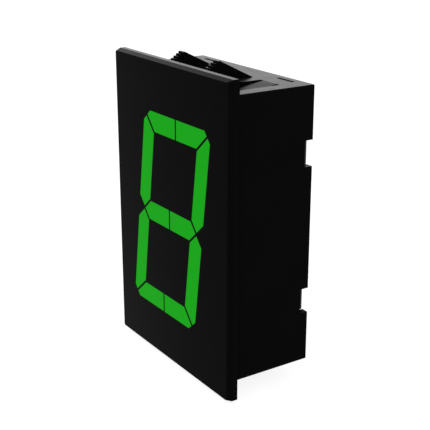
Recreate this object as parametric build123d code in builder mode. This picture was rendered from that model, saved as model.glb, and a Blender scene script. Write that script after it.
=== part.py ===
from build123d import *
import os
from math import radians, sqrt, tan

os.makedirs("parts", exist_ok=True)

# A panel-mount display module for one slanted digit of ten lit fields.
# +X is right as seen from the front, +Y points to the rear and +Z up, all in millimetres.
# The origin is the centre of the panel's seating plane, which is the rear face of the flange.

# Front flange of the housing
flange_width = 100.0
flange_height = 150.0
flange_thickness = 5.4
bevel_inset = 1.0
bevel_depth = 2.7
face_wall = 2.4

# Box of the housing, open at the rear
box_width = 90.5
box_height = 135.6
box_depth = 43.8
wall = 3.0
edge_round = 1.4

# Spring flaps in the top and bottom walls, each cut free by two openings and a front gap
opening_inner_x = 23.5
opening_width = 14.7
opening_end_y = 29.8
flap_gap = 1.2

# Serrated snap teeth that stand on the flaps
tooth_inner_x = 13.0
tooth_thickness = 3.7
tooth_height = 8.8
tooth_foot = 1.1
tooth_peak_y = 12.4
tooth_rear_y = 30.4
tooth_steps = 8

# Inner tongues that lock the light unit against the front wall
tongue_width = 9.9
tongue_tip_thickness = 2.0
tongue_clearance = 0.05

# Slots for the rear board's tabs, and notches for the wiring to the next module
tab_width = 11.6
tab_centre_x = 30.4
tab_reach = 1.3
tab_clearance = 0.15
notch_height = 12.4
notch_centre_z = 36.2
notch_depth = 4.7

# Ribs that guide the light unit and carry the rear board
rib_height = 2.0
rib_width = 2.4
rib_centre_z = 18.0
insert_clearance = 0.3

# Digit
digit_height = 100.0
digit_width = 57.3
digit_slant = 8.2
digit_shift = 0.2
bar_height = 9.5
bar_width = 9.7
corner_cut = 5.1
segment_gap = 1.3
split_gap = 1.1
window_growth = 0.3
lens_clearance = 0.05

# Light box with one reflecting trough for each field
light_box_depth = 11.0
light_box_front = 1.6
light_box_wall = 2.0
trough_wall = 1.3
trough_mouth_inset = 0.3
trough_floor_inset = 1.6
relief_margin = 1.0
relief_depth = 9.0

# Boards
board_thickness = 1.6
rear_recess = 4.25
hole_sides = 8

# Screws that join the light box and its board
screw_side_inset = 8.95
screw_end_inset = 6.4
screw_length = 8.0
screw_radius = 1.0
screw_head_radius = 2.2
screw_head_height = 1.5
screw_head_sides = 6
screw_drive_length = 3.0
screw_drive_width = 0.6
screw_drive_depth = 0.8
boss_radius = 3.0
screw_clearance = 0.05
board_hole_clearance = 0.3

# Light-emitting diodes
led_length = 3.5
led_width = 2.8
led_height = 1.9
led_frame = 0.4
led_cup_depth = 0.5
led_margin = 0.4
half_bar_led_count = 3
upright_led_count = 5

# Chip resistors and capacitors
chip_length = 3.2
chip_width = 1.6
chip_height = 0.6
resistor_x = 14.0
resistor_rows = (-44.0, -24.0, 0.0, 24.0, 44.0)
ceramic_x = 12.0
ceramic_height = 1.2

# Pin strips between the two boards
pin_pitch = 2.54
pin_side = 0.64
pin_hole_radius = 0.55
link_pins = 8
link_inset = 4.45
link_bar_side = 2.5
link_tail = 1.2
socket_depth = 8.5
socket_hole_side = 0.8
socket_hole_depth = 7.0
pin_end_gap = 1.0

# Connectors on the rear board
signal_inset = 14.5
signal_columns = 5
signal_rows = 2
signal_length = 20.3
signal_width = 8.9
signal_depth = 9.0
signal_floor = 2.5
signal_shell = 1.1
signal_key_width = 4.5
power_inset = 14.5
power_pitch = 5.08
power_poles = 2
power_width = 8.4
power_depth = 8.6
power_shell = 1.0
power_floor = 3.0
power_pin_side = 1.0
power_hole_radius = 0.8
pin_tail = 1.5
pin_rise = 5.0
side_link_setback = 1.35
side_link_length = 8.0
side_link_width = 13.6
side_link_height = 4.1
side_link_shell = 0.8
side_link_mouth = 5.5
side_link_pins = 5
side_link_pin_side = 0.5

# Driver chips, regulator and smoothing capacitor
driver_z = 18.0
driver_length = 12.8
driver_width = 7.5
driver_height = 2.3
driver_standoff = 0.1
driver_bevel = 0.3
lead_pitch = 1.27
leads_in_row = 10
lead_width = 0.42
lead_thickness = 0.25
lead_reach = 1.4
lead_knee = 0.5
regulator_x = -22.0
regulator_z = 0.0
regulator_width = 6.5
regulator_length = 6.1
regulator_height = 2.3
regulator_tab = 1.2
regulator_tab_thickness = 0.5
regulator_lead_width = 0.8
regulator_lead_reach = 2.6
regulator_lead_pitch = 4.56
capacitor_x = 20.0
capacitor_z = 0.0
capacitor_radius = 5.0
capacitor_height = 12.0
capacitor_bevel = 0.5
capacitor_lead_radius = 0.3
capacitor_lead_pitch = 5.0
capacitor_hole_radius = 0.45

# Places that follow from the sizes above
face_y = -flange_thickness
inner_face_y = face_y + face_wall
cavity_width = box_width - 2 * wall
cavity_height = box_height - 2 * wall
insert_width = cavity_width - 2 * insert_clearance
insert_height = cavity_height - 2 * insert_clearance
led_board_y = inner_face_y + light_box_depth
led_board_rear_y = led_board_y + board_thickness
rear_board_rear_y = box_depth - rear_recess
rear_board_y = rear_board_rear_y - board_thickness
relief_width = 2 * (opening_inner_x + relief_margin)
half_digit_width = digit_width / 2
half_digit_height = digit_height / 2
mitre_step = segment_gap / sqrt(2)
tilt = tan(radians(digit_slant))
tongue_centre_x = opening_inner_x + opening_width / 2
screw_x = insert_width / 2 - screw_side_inset
screw_z = insert_height / 2 - screw_end_inset
link_x = insert_width / 2 - link_inset
signal_z = insert_height / 2 - signal_inset
power_z = power_inset - insert_height / 2


def facing_front(y):
    """Plane across the depth at y, with its sketch seen from the front."""
    return Plane.XZ.offset(-y)


def lean(u, z):
    """Point of an upright digit, moved sideways with its height to the slant of the real one."""
    return (digit_shift + u + z * tilt, z)


def end_bar(side, level):
    """Corners of half of the top (level 1) or bottom (level -1) bar, left where side is -1."""
    outer_z = level * half_digit_height
    inner_z = level * (half_digit_height - bar_height)
    split_x = lean(side * split_gap / 2, (outer_z + inner_z) / 2)[0]
    cut_u = half_digit_width - corner_cut / 2 - mitre_step / 2
    cut_z = half_digit_height - corner_cut / 2 + mitre_step / 2
    return [
        (split_x, outer_z),
        lean(side * (half_digit_width - corner_cut), outer_z),
        lean(side * cut_u, level * cut_z),
        lean(side * (half_digit_width - bar_height - mitre_step), inner_z),
        (split_x, inner_z),
    ]


def upright_bar(side, level):
    """Corners of one of the four upright bars, which point at the middle bar."""
    inner_u = half_digit_width - bar_width
    cut_u = half_digit_width - corner_cut / 2 + mitre_step / 2
    cut_z = half_digit_height - corner_cut / 2 - mitre_step / 2
    shoulder_z = bar_width / 2 + mitre_step
    return [
        lean(side * half_digit_width, level * (half_digit_height - corner_cut)),
        lean(side * cut_u, level * cut_z),
        lean(side * inner_u, level * (half_digit_height - bar_width - mitre_step)),
        lean(side * inner_u, level * shoulder_z),
        lean(side * (half_digit_width - bar_width / 2), level * mitre_step),
        lean(side * half_digit_width, level * shoulder_z),
    ]


def middle_bar(side):
    """Corners of half of the middle bar, with its tip between two upright bars."""
    tip_u = half_digit_width - bar_width / 2 - mitre_step
    shoulder_u = tip_u - bar_height / 2
    split_x = lean(side * split_gap / 2, 0)[0]
    return [
        lean(side * tip_u, 0),
        lean(side * shoulder_u, bar_height / 2),
        (split_x, bar_height / 2),
        (split_x, -bar_height / 2),
        lean(side * shoulder_u, -bar_height / 2),
    ]


def spread(first, last, count):
    """Evenly spaced places from the first to the last."""
    return [first + (last - first) * i / (count - 1) for i in range(count)]


def bar_leds(side, z):
    """Places of the diodes along half of a level bar, clear of its split and its mitred tip."""
    first_u = split_gap / 2 + trough_floor_inset + led_length / 2 + led_margin
    tip_u = half_digit_width - bar_width / 2 - mitre_step
    last_u = tip_u - tip_reserve
    return [lean(side * u, z) for u in spread(first_u, last_u, half_bar_led_count)]


def upright_leds(side, level):
    """Places of the diodes along an upright bar, clear of the mitres at its two ends."""
    centre_u = half_digit_width - bar_width / 2
    first_z = mitre_step + tip_reserve
    last_z = half_digit_height - bar_width / 2 - mitre_step - tip_reserve
    return [lean(side * centre_u, level * z) for z in spread(first_z, last_z, upright_led_count)]


# Length taken at a mitred tip before a diode has room at the trough's floor
tip_reserve = sqrt(2) * trough_floor_inset + (led_length + led_width) / 2 + led_margin
end_bar_z = half_digit_height - bar_height / 2

segments = {
    "top_left": end_bar(-1, 1),
    "top_right": end_bar(1, 1),
    "upper_left": upright_bar(-1, 1),
    "upper_right": upright_bar(1, 1),
    "middle_left": middle_bar(-1),
    "middle_right": middle_bar(1),
    "lower_left": upright_bar(-1, -1),
    "lower_right": upright_bar(1, -1),
    "bottom_left": end_bar(-1, -1),
    "bottom_right": end_bar(1, -1),
}

led_places = {
    "top_left": bar_leds(-1, end_bar_z),
    "top_right": bar_leds(1, end_bar_z),
    "upper_left": upright_leds(-1, 1),
    "upper_right": upright_leds(1, 1),
    "middle_left": bar_leds(-1, 0),
    "middle_right": bar_leds(1, 0),
    "lower_left": upright_leds(-1, -1),
    "lower_right": upright_leds(1, -1),
    "bottom_left": bar_leds(-1, -end_bar_z),
    "bottom_right": bar_leds(1, -end_bar_z),
}


def field_prism(corners, front_y, rear_y, front_growth, rear_growth):
    """Solid between two depths whose outline grows or shrinks from the field's corners."""
    with BuildPart() as prism:
        with BuildSketch(facing_front(front_y)):
            Polygon(*corners, align=None)
            offset(amount=front_growth, kind=Kind.INTERSECTION)
        with BuildSketch(facing_front(rear_y)):
            Polygon(*corners, align=None)
            offset(amount=rear_growth, kind=Kind.INTERSECTION)
        loft()
    return prism.part


def save(piece, name):
    """Label one finished piece and write it as its own file."""
    piece.label = name
    export_step(piece, f"parts/{name}.step")


# Windows of the front wall, wider behind so that a lens can't come out forwards
windows = {}
for name, corners in segments.items():
    windows[name] = field_prism(corners, face_y, inner_face_y, lens_clearance, window_growth + lens_clearance)

# Snap teeth: a fin with a stepped front that grips the panel, and a long ramp behind
step_run = (tooth_peak_y - flap_gap) / tooth_steps
step_rise = (tooth_height - tooth_foot) / tooth_steps
tooth_profile = [(flap_gap, box_height / 2 - wall / 2)]
for step in range(tooth_steps):
    step_z = box_height / 2 + tooth_foot + (step + 1) * step_rise
    tooth_profile.append((flap_gap + step * step_run, step_z))
    tooth_profile.append((flap_gap + (step + 1) * step_run, step_z))
tooth_profile.append((tooth_rear_y, box_height / 2))
tooth_profile.append((tooth_rear_y, box_height / 2 - wall / 2))

with BuildPart() as teeth:
    with BuildSketch(Plane.YZ.offset(tooth_inner_x)):
        with BuildLine():
            Polyline(*tooth_profile, close=True)
        make_face()
    extrude(amount=tooth_thickness)
    mirror(about=Plane.YZ)
    mirror(about=Plane.XY)

# Inner tongues: rooted at the rear of each opening and bent inwards to the board's edge
with BuildPart() as tongues:
    with BuildSketch(Plane.YZ.offset(tongue_centre_x - tongue_width / 2)):
        with BuildLine():
            Polyline(
                (opening_end_y, box_height / 2),
                (led_board_rear_y + tongue_clearance, insert_height / 2),
                (led_board_rear_y + tongue_clearance, insert_height / 2 - tongue_tip_thickness),
                (opening_end_y, box_height / 2 - wall),
                close=True,
            )
        make_face()
    extrude(amount=tongue_width)
    mirror(about=Plane.YZ)
    mirror(about=Plane.XY)

# Housing: flange, box, spring flaps with teeth, tongues, slots and notches in one moulding
with BuildPart() as housing:
    with BuildSketch(Plane.XZ):
        Rectangle(box_width, box_height)
    extrude(amount=-box_depth)
    fillet(housing.edges().filter_by(Axis.Y), radius=edge_round)
    with BuildSketch(Plane.XZ):
        Rectangle(flange_width, flange_height)
    extrude(amount=flange_thickness - bevel_depth)
    with BuildSketch(facing_front(face_y + bevel_depth)):
        Rectangle(flange_width, flange_height)
    with BuildSketch(facing_front(face_y)):
        Rectangle(flange_width - 2 * bevel_inset, flange_height - 2 * bevel_inset)
    loft()
    with BuildSketch(facing_front(inner_face_y)):
        Rectangle(cavity_width, cavity_height)
    extrude(amount=inner_face_y - box_depth, mode=Mode.SUBTRACT)
    for window in windows.values():
        add(window, mode=Mode.SUBTRACT)
    with BuildSketch(Plane.XY.offset(-box_height / 2)):
        with Locations((-tongue_centre_x, opening_end_y / 2), (tongue_centre_x, opening_end_y / 2)):
            Rectangle(opening_width, opening_end_y)
        with Locations((0, flap_gap / 2)):
            Rectangle(2 * opening_inner_x, flap_gap)
        with Locations((0, rear_board_y + board_thickness / 2)):
            with GridLocations(2 * tab_centre_x, 0, 2, 1):
                Rectangle(tab_width + 2 * tab_clearance, board_thickness + 2 * tab_clearance)
    extrude(amount=box_height, mode=Mode.SUBTRACT)
    with BuildSketch(Plane.YZ.offset(-box_width / 2)):
        notch_y = box_depth - notch_depth / 2
        with Locations((notch_y, -notch_centre_z), (notch_y, notch_centre_z)):
            Rectangle(notch_depth, notch_height)
    extrude(amount=box_width, mode=Mode.SUBTRACT)
    with BuildSketch(facing_front(inner_face_y)):
        rib_x = cavity_width / 2 - rib_height / 2
        with GridLocations(2 * rib_x, 2 * rib_centre_z, 2, 2):
            Rectangle(rib_height, rib_width)
    extrude(amount=inner_face_y - rear_board_y)
    add(teeth.part)
    add(tongues.part)
save(housing.part, "housing")

# Lenses: ten tinted plugs that end flush with the front face
for name, corners in segments.items():
    lens = field_prism(corners, face_y, inner_face_y, 0, window_growth)
    save(lens, f"lens_{name}")


def insert_outline(growth=0.0):
    """Outline shared by the light box and its board, relieved for the flaps and ribs."""
    with BuildSketch(Plane.XZ) as outline:
        Rectangle(insert_width, insert_height)
        with Locations((0, insert_height / 2), (0, -insert_height / 2)):
            Rectangle(relief_width, 2 * relief_depth, mode=Mode.SUBTRACT)
        with GridLocations(insert_width, 2 * rib_centre_z, 2, 2):
            Rectangle(2 * rib_height, rib_width + 2 * insert_clearance, mode=Mode.SUBTRACT)
        if growth:
            offset(amount=growth, kind=Kind.INTERSECTION)
    return outline.sketch.face()


outer_outline = insert_outline()
inner_outline = insert_outline(-light_box_wall)
screw_spots = [(x, z) for x in (-screw_x, screw_x) for z in (-screw_z, screw_z)]

# Troughs of the light box, wide at the lens and narrow at the diodes
trough_shells = []
trough_hollows = []
for corners in segments.values():
    shell = (trough_wall - trough_mouth_inset, trough_wall - trough_floor_inset)
    hollow = (-trough_mouth_inset, -trough_floor_inset)
    trough_shells.append(field_prism(corners, inner_face_y, led_board_y, *shell))
    trough_hollows.append(field_prism(corners, inner_face_y, led_board_y, *hollow))

# Light box: front wall, rim, screw bosses and ten tapering reflector troughs
with BuildPart() as light_box:
    with BuildSketch(facing_front(inner_face_y)):
        add(outer_outline)
    extrude(amount=-light_box_depth)
    with BuildSketch(facing_front(inner_face_y + light_box_front)):
        add(inner_outline)
    extrude(amount=light_box_front - light_box_depth, mode=Mode.SUBTRACT)
    with BuildSketch(facing_front(inner_face_y)):
        with Locations(*screw_spots):
            Circle(boss_radius)
    extrude(amount=-light_box_depth)
    for shell in trough_shells:
        add(shell)
    for hollow in trough_hollows:
        add(hollow, mode=Mode.SUBTRACT)
    with BuildSketch(facing_front(led_board_y)):
        with Locations(*screw_spots):
            Circle(screw_radius + screw_clearance)
    extrude(amount=screw_length - board_thickness + screw_clearance, mode=Mode.SUBTRACT)
save(light_box.part, "light_box")

# Board that carries the diodes, clamped between the light box and the tongues
with BuildPart() as led_board:
    with BuildSketch(facing_front(led_board_y)):
        add(outer_outline)
        with Locations(*screw_spots):
            RegularPolygon(screw_radius + board_hole_clearance, hole_sides, mode=Mode.SUBTRACT)
        with Locations((-link_x, 0), (link_x, 0)):
            with GridLocations(0, pin_pitch, 1, link_pins):
                RegularPolygon(pin_hole_radius, hole_sides, mode=Mode.SUBTRACT)
    extrude(amount=-board_thickness)
save(led_board.part, "led_board")

# Screws: hexagon heads with a cross drive, on the rear of the diode board
with BuildPart() as screws:
    with BuildSketch(facing_front(led_board_rear_y)):
        with Locations(*screw_spots):
            Circle(screw_radius)
    extrude(amount=screw_length)
    with BuildSketch(facing_front(led_board_rear_y)):
        with Locations(*screw_spots):
            RegularPolygon(screw_head_radius, screw_head_sides)
    extrude(amount=-screw_head_height)
    with BuildSketch(facing_front(led_board_rear_y + screw_head_height)):
        with Locations(*screw_spots):
            Rectangle(screw_drive_length, screw_drive_width)
            Rectangle(screw_drive_width, screw_drive_length)
    extrude(amount=screw_drive_depth, mode=Mode.SUBTRACT)
save(screws.part, "light_box_screws")

# Diodes: one group for each lit field, each diode with a shallow window in its front
for name, places in led_places.items():
    with BuildPart() as leds:
        with BuildSketch(facing_front(led_board_y)):
            with Locations(*places):
                Rectangle(led_length, led_width)
        extrude(amount=led_height)
        with BuildSketch(facing_front(led_board_y - led_height)):
            with Locations(*places):
                Rectangle(led_length - 2 * led_frame, led_width - 2 * led_frame)
        extrude(amount=-led_cup_depth, mode=Mode.SUBTRACT)
    save(leds.part, f"leds_{name}")

# Series resistors on the rear of the diode board, one for each field
resistor_spots = [(x, z) for x in (-resistor_x, resistor_x) for z in resistor_rows]
with BuildPart() as resistors:
    with BuildSketch(facing_front(led_board_rear_y)):
        with Locations(*resistor_spots):
            Rectangle(chip_width, chip_length)
    extrude(amount=-chip_height)
save(resistors.part, "segment_resistors")

# Long pin strips that join the two boards, with their sockets on the rear board
link_length = link_pins * pin_pitch
link_front_y = led_board_y - link_tail
link_rear_y = rear_board_y - socket_depth + socket_hole_depth - pin_end_gap
for name, side in (("left", -1), ("right", 1)):
    with BuildPart() as bar:
        with BuildSketch(facing_front(led_board_rear_y)):
            with Locations((side * link_x, 0)):
                Rectangle(link_bar_side, link_length)
                with GridLocations(0, pin_pitch, 1, link_pins):
                    Rectangle(pin_side, pin_side, mode=Mode.SUBTRACT)
        extrude(amount=-link_bar_side)
    save(bar.part, f"link_bar_{name}")

    with BuildPart() as pins:
        with BuildSketch(facing_front(link_front_y)):
            with Locations((side * link_x, 0)):
                with GridLocations(0, pin_pitch, 1, link_pins):
                    Rectangle(pin_side, pin_side)
        extrude(amount=link_front_y - link_rear_y)
    save(pins.part, f"link_pins_{name}")

    with BuildPart() as socket:
        with BuildSketch(facing_front(rear_board_y)):
            with Locations((side * link_x, 0)):
                Rectangle(link_bar_side, link_length)
        extrude(amount=socket_depth)
        with BuildSketch(facing_front(rear_board_y - socket_depth)):
            with Locations((side * link_x, 0)):
                with GridLocations(0, pin_pitch, 1, link_pins):
                    Rectangle(socket_hole_side, socket_hole_side)
        extrude(amount=-socket_hole_depth, mode=Mode.SUBTRACT)
    save(socket.part, f"link_socket_{name}")

# Rear board, held by four tabs in the slots of the housing
with BuildPart() as driver_board:
    with BuildSketch(facing_front(rear_board_y)):
        Rectangle(insert_width, insert_height)
        with Locations((-tab_centre_x, 0), (tab_centre_x, 0)):
            Rectangle(tab_width, cavity_height + 2 * tab_reach)
        with Locations((0, signal_z)):
            with GridLocations(pin_pitch, pin_pitch, signal_columns, signal_rows):
                RegularPolygon(pin_hole_radius, hole_sides, mode=Mode.SUBTRACT)
        with Locations((0, power_z)):
            with GridLocations(power_pitch, 0, power_poles, 1):
                RegularPolygon(power_hole_radius, hole_sides, mode=Mode.SUBTRACT)
        with Locations((capacitor_x, capacitor_z)):
            with GridLocations(0, capacitor_lead_pitch, 1, 2):
                RegularPolygon(capacitor_hole_radius, hole_sides, mode=Mode.SUBTRACT)
    extrude(amount=-board_thickness)
save(driver_board.part, "driver_board")

# Signal connector: a keyed box around ten pins
with BuildPart() as signal_connector:
    with BuildSketch(facing_front(rear_board_rear_y)):
        with Locations((0, signal_z)):
            Rectangle(signal_length, signal_width)
    extrude(amount=-signal_depth)
    with BuildSketch(facing_front(rear_board_rear_y + signal_floor)):
        with Locations((0, signal_z)):
            Rectangle(signal_length - 2 * signal_shell, signal_width - 2 * signal_shell)
        with Locations((0, signal_z - signal_width / 2)):
            Rectangle(signal_key_width, 2 * signal_shell)
    extrude(amount=signal_floor - signal_depth, mode=Mode.SUBTRACT)
    with BuildSketch(facing_front(rear_board_rear_y)):
        with Locations((0, signal_z)):
            with GridLocations(pin_pitch, pin_pitch, signal_columns, signal_rows):
                Rectangle(pin_side, pin_side)
    extrude(amount=-signal_floor, mode=Mode.SUBTRACT)
save(signal_connector.part, "signal_connector")

with BuildPart() as signal_pins:
    with BuildSketch(facing_front(rear_board_y - pin_tail)):
        with Locations((0, signal_z)):
            with GridLocations(pin_pitch, pin_pitch, signal_columns, signal_rows):
                Rectangle(pin_side, pin_side)
    extrude(amount=-(pin_tail + board_thickness + signal_floor + pin_rise))
save(signal_pins.part, "signal_pins")

# Power connector: a box open on one side for the plug's latch, with two stout pins
power_length = power_poles * power_pitch
with BuildPart() as power_connector:
    with BuildSketch(facing_front(rear_board_rear_y)):
        with Locations((0, power_z)):
            Rectangle(power_length, power_width)
    extrude(amount=-power_depth)
    with BuildSketch(facing_front(rear_board_rear_y + power_floor)):
        with Locations((0, power_z - power_shell)):
            Rectangle(power_length - 2 * power_shell, power_width)
    extrude(amount=power_floor - power_depth, mode=Mode.SUBTRACT)
    with BuildSketch(facing_front(rear_board_rear_y)):
        with Locations((0, power_z)):
            with GridLocations(power_pitch, 0, power_poles, 1):
                Rectangle(power_pin_side, power_pin_side)
    extrude(amount=-power_floor, mode=Mode.SUBTRACT)
save(power_connector.part, "power_connector")

with BuildPart() as power_pins:
    with BuildSketch(facing_front(rear_board_y - pin_tail)):
        with Locations((0, power_z)):
            with GridLocations(power_pitch, 0, power_poles, 1):
                Rectangle(power_pin_side, power_pin_side)
    extrude(amount=-(pin_tail + board_thickness + power_floor + pin_rise))
save(power_pins.part, "power_pins")

# Side connectors that face the notches, for the leads to the next module
side_link_y = rear_board_rear_y + side_link_height / 2
side_link_outer_x = cavity_width / 2 - side_link_setback
for side_name, side in (("left", -1), ("right", 1)):
    for level_name, level in (("upper", 1), ("lower", -1)):
        centre_z = level * notch_centre_z
        with BuildPart() as side_link:
            with BuildSketch(Plane.YZ.offset(side * side_link_outer_x)):
                with Locations((side_link_y, centre_z)):
                    Rectangle(side_link_height, side_link_width)
            extrude(amount=-side * side_link_length)
            with BuildSketch(Plane.YZ.offset(side * side_link_outer_x)):
                with Locations((side_link_y, centre_z)):
                    Rectangle(side_link_height - 2 * side_link_shell, side_link_width - 2 * side_link_shell)
            extrude(amount=-side * side_link_mouth, mode=Mode.SUBTRACT)
        save(side_link.part, f"link_port_{level_name}_{side_name}")

with BuildPart() as side_pins:
    for side in (-1, 1):
        for level in (-1, 1):
            with BuildSketch(Plane.YZ.offset(side * (side_link_outer_x - side_link_mouth))):
                with Locations((side_link_y, level * notch_centre_z)):
                    with GridLocations(0, pin_pitch, 1, side_link_pins):
                        Rectangle(side_link_pin_side, side_link_pin_side)
            extrude(amount=side * (side_link_mouth - side_link_shell))
save(side_pins.part, "link_port_pins")

# Driver chips: a moulded body with a row of bent leads on each long side
chip_base_y = rear_board_rear_y + driver_standoff
lead_top_y = chip_base_y + driver_height / 2
lead_foot = driver_width / 2 + lead_reach
lead_bend = driver_width / 2 + lead_knee
with BuildPart() as lead_pair:
    with BuildSketch(Plane.YZ):
        with BuildLine():
            Polyline(
                (lead_top_y, driver_width / 2),
                (lead_top_y, lead_bend),
                (rear_board_rear_y, lead_bend),
                (rear_board_rear_y, lead_foot),
                (rear_board_rear_y + lead_thickness, lead_foot),
                (rear_board_rear_y + lead_thickness, lead_bend + lead_thickness),
                (lead_top_y + lead_thickness, lead_bend + lead_thickness),
                (lead_top_y + lead_thickness, driver_width / 2),
                close=True,
            )
        make_face()
    extrude(amount=lead_width / 2, both=True)
    mirror(about=Plane.XY)

for level_name, level in (("upper", 1), ("lower", -1)):
    with BuildPart() as driver_chip:
        with BuildSketch(facing_front(chip_base_y)):
            with Locations((0, level * driver_z)):
                Rectangle(driver_length, driver_width)
        extrude(amount=-driver_height)
        chamfer(driver_chip.faces().sort_by(Axis.Y)[-1].edges(), length=driver_bevel)
        with Locations((0, 0, level * driver_z)):
            with GridLocations(lead_pitch, 0, leads_in_row, 1):
                add(lead_pair.part)
    save(driver_chip.part, f"driver_chip_{level_name}")

# Voltage regulator: a flat body on its cooling tab, with two leads
with BuildPart() as regulator:
    with BuildSketch(facing_front(rear_board_rear_y)):
        with Locations((regulator_x, regulator_z)):
            Rectangle(regulator_width, regulator_length)
    extrude(amount=-regulator_height)
    chamfer(regulator.faces().sort_by(Axis.Y)[-1].edges(), length=driver_bevel)
    with BuildSketch(facing_front(rear_board_rear_y)):
        with Locations((regulator_x, regulator_z + regulator_length / 2)):
            Rectangle(regulator_width - regulator_tab, 2 * regulator_tab)
    extrude(amount=-regulator_tab_thickness)
    with BuildSketch(facing_front(rear_board_rear_y)):
        with Locations((regulator_x, regulator_z - regulator_length / 2)):
            with GridLocations(regulator_lead_pitch, 0, 2, 1):
                Rectangle(regulator_lead_width, 2 * regulator_lead_reach)
    extrude(amount=-regulator_tab_thickness)
save(regulator.part, "regulator_chip")

# Smoothing capacitor on the front of the rear board, a round can on two leads
with BuildPart() as capacitor:
    with BuildSketch(facing_front(rear_board_y)):
        with Locations((capacitor_x, capacitor_z)):
            Circle(capacitor_radius)
    extrude(amount=capacitor_height)
    chamfer(capacitor.faces().sort_by(Axis.Y)[0].edges(), length=capacitor_bevel)
    with BuildSketch(facing_front(rear_board_y)):
        with Locations((capacitor_x, capacitor_z)):
            with GridLocations(0, capacitor_lead_pitch, 1, 2):
                Circle(capacitor_lead_radius)
    extrude(amount=-(board_thickness + pin_tail))
save(capacitor.part, "smoothing_capacitor")

# Small ceramic capacitors beside the chips
ceramic_spots = [(x, level * driver_z) for x in (-ceramic_x, ceramic_x) for level in (-1, 1)]
with BuildPart() as ceramics:
    with BuildSketch(facing_front(rear_board_rear_y)):
        with Locations(*ceramic_spots):
            Rectangle(chip_width, chip_length)
    extrude(amount=-ceramic_height)
save(ceramics.part, "ceramic_capacitors")
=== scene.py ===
"""Dresses the panel-mount digit module: its finishes, its board work, the studio and the camera."""
import logging
from dataclasses import dataclass, field
from enum import Enum
from math import cos, pi, radians, sin
from typing import Any, Iterable

import bmesh
import bpy
import numpy as np
from mathutils import Matrix, Vector


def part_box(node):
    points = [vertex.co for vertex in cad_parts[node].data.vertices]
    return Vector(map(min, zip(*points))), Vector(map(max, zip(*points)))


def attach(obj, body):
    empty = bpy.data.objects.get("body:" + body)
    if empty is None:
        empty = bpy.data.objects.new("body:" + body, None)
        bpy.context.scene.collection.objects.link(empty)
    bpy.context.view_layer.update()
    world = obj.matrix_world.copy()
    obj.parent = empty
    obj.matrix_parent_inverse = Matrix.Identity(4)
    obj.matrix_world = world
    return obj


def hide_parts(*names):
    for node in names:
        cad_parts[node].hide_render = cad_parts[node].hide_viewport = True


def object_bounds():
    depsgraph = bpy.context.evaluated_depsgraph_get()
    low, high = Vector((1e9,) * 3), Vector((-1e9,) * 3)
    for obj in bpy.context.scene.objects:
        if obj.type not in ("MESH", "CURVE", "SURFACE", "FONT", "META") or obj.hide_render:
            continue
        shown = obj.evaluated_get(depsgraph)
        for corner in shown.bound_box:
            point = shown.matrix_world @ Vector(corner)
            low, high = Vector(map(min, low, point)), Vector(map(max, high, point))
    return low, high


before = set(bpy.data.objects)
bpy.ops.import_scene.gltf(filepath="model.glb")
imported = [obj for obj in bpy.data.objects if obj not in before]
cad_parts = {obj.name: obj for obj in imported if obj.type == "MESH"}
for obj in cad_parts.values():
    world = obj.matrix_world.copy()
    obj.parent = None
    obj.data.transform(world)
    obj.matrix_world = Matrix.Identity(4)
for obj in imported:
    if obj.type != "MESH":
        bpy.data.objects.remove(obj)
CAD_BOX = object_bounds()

log = logging.getLogger("module")
MM = 0.001

# Points nearer together than this are one point
WELD_MM = 0.0001

# Sockets of a mix node of colours, whose names aren't unique
MIX_FACTOR, MIX_FIRST, MIX_SECOND, MIX_RESULT = 0, 6, 7, 2

# Octaves of a finish's three noises, and how many rubbed spots lie along a patch
PATCH_DETAIL, RUB_DETAIL, GRAIN_DETAIL = 4.0, 6.0, 2.0
RUBS_PER_PATCH = 3

# Nearly all values of a noise lie between these
NOISE_LOW, NOISE_HIGH = 0.3, 0.7

# How strongly a relief bends the light
RELIEF_STRENGTH = 0.5

# Points in metres, one row each, and the indices of each face's corners
Surface = tuple[np.ndarray, list[list[int]]]


class Slot(Enum):
    """Material slots of the record, by kind of new piece. Nothing here uses them: each piece takes a
    Finish.

    The record has no slot for ink, so INK names the one of the pale connectors.
    """

    HOUSING = "housing_plastic"
    BOARD = "board_laminate"
    METAL = "contact_metal"
    INK = "connector_plastic"


def linear(colour: str) -> tuple[float, float, float, float]:
    """Turns an sRGB hex colour into linear values.

    Below the knee a value is divided by 12.92. Above it, it is shifted and raised to the power 2.4.

    Args:
        colour: Six hex digits after a number sign.

    Returns:
        Red, green, blue and an alpha of one.
    """
    knee, slope, shift, power = 0.04045, 12.92, 0.055, 2.4
    parts = [int(colour[i:i + 2], 16) / 255 for i in (1, 3, 5)]
    red, green, blue = (c / slope if c <= knee else ((c + shift) / (1 + shift)) ** power for c in parts)
    return red, green, blue, 1.0


def add_node(
    tree: bpy.types.NodeTree, kind: str, inputs: dict | None = None, **settings: Any
) -> bpy.types.Node:
    """Adds one node with its settings, and sets or links its inputs.

    Args:
        tree: The tree that takes the node.
        kind: Blender's name for the type of node.
        inputs: Values, or output sockets to link, by the input's name or index.
        settings: Attributes of the node.

    Returns:
        The new node.
    """
    made = tree.nodes.new(kind)
    for key, value in settings.items():
        setattr(made, key, value)
    for key, value in (inputs or {}).items():
        if isinstance(value, bpy.types.NodeSocket):
            tree.links.new(value, made.inputs[key])
        else:
            made.inputs[key].default_value = value
    return made


def per_mm(size: float) -> float:
    """Noise scale, in cells per metre, for features of a size in millimetres."""
    return 1 / (size * MM)


# Finishes

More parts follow.
